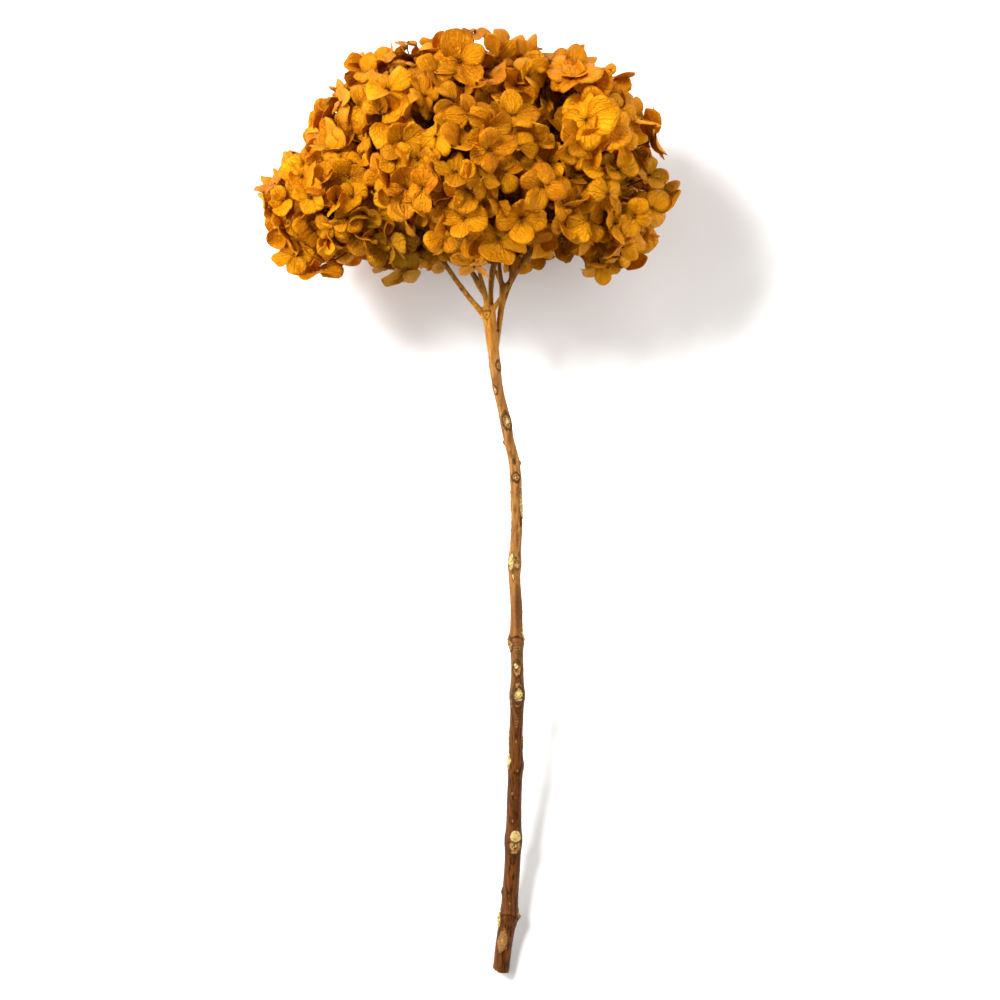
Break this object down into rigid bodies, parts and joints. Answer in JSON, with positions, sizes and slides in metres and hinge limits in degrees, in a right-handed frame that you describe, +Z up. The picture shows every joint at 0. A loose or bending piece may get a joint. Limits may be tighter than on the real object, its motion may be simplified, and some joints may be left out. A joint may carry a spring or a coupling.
{
  "type": "hydrangea stem",
  "caption": "Cut and preserved hydrangea stem lying on its side: a woody stalk with a forked top under one broad mophead of four-petalled florets.",
  "frame": {"origin": "middle of the lying stem's bounding box, on the surface that it lies on", "axes": "+Z up from that surface, +Y from the cut end towards the flower head, +X to the right seen from above with the head away from the viewer"},
  "size_m": [0.2325, 0.5346, 0.1749],
  "materials": {
    "bark": "dry woody bark, golden tan under the head and darker brown towards the cut, with pale corky leaf scars",
    "sepals": "thin dyed and glycerine-preserved sepals, mustard orange, soft satin, finely veined"
  },
  "bodies": {
    "root": {"woody_stem": "bark", "flower_head": "sepals"}
  },
  "joints": []
}
